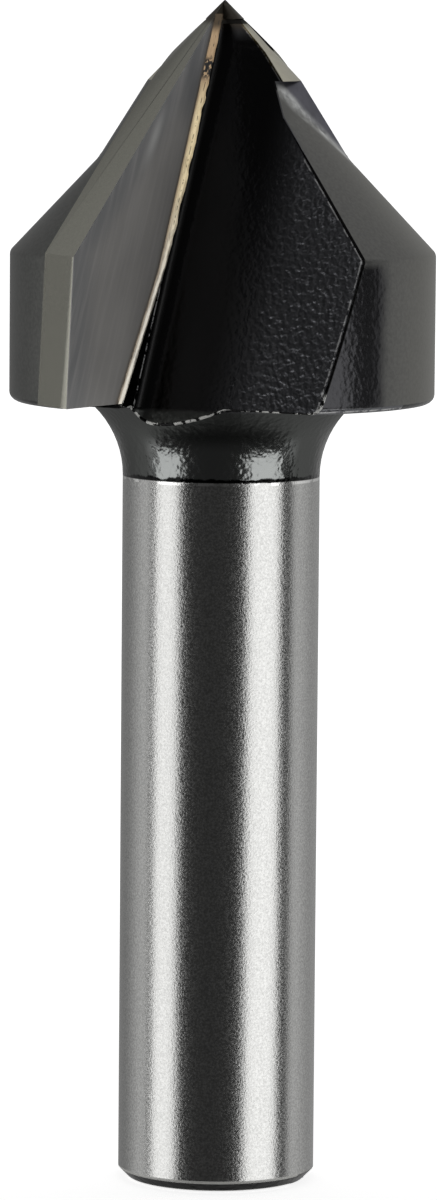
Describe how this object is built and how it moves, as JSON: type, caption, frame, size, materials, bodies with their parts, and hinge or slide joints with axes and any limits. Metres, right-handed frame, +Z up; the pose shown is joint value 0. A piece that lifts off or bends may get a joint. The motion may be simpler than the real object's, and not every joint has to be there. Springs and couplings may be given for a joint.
{
  "type": "v groove router bit",
  "caption": "Carbide-tipped V groove router bit: pointed 90 degree head with straight flutes and ground wings on a plain cylindrical shank.",
  "frame": {"origin": "centre of the shank's flat end, on the bit's axis", "axes": "+Z up along the bit's axis to the point; +X to the right and -Y towards the viewer of the picture"},
  "size_m": [0.0274, 0.0258, 0.0762],
  "materials": {
    "coated_steel": "black baked coating on the head and neck, bare satin-ground steel on the shank",
    "carbide": "fine-ground grey carbide",
    "braze": "dull gold braze line"
  },
  "bodies": {
    "root": {"steel_body": "coated_steel", "carbide_tip_front": "carbide", "carbide_tip_rear": "carbide", "braze_seam_front": "braze", "braze_seam_rear": "braze"}
  },
  "joints": []
}
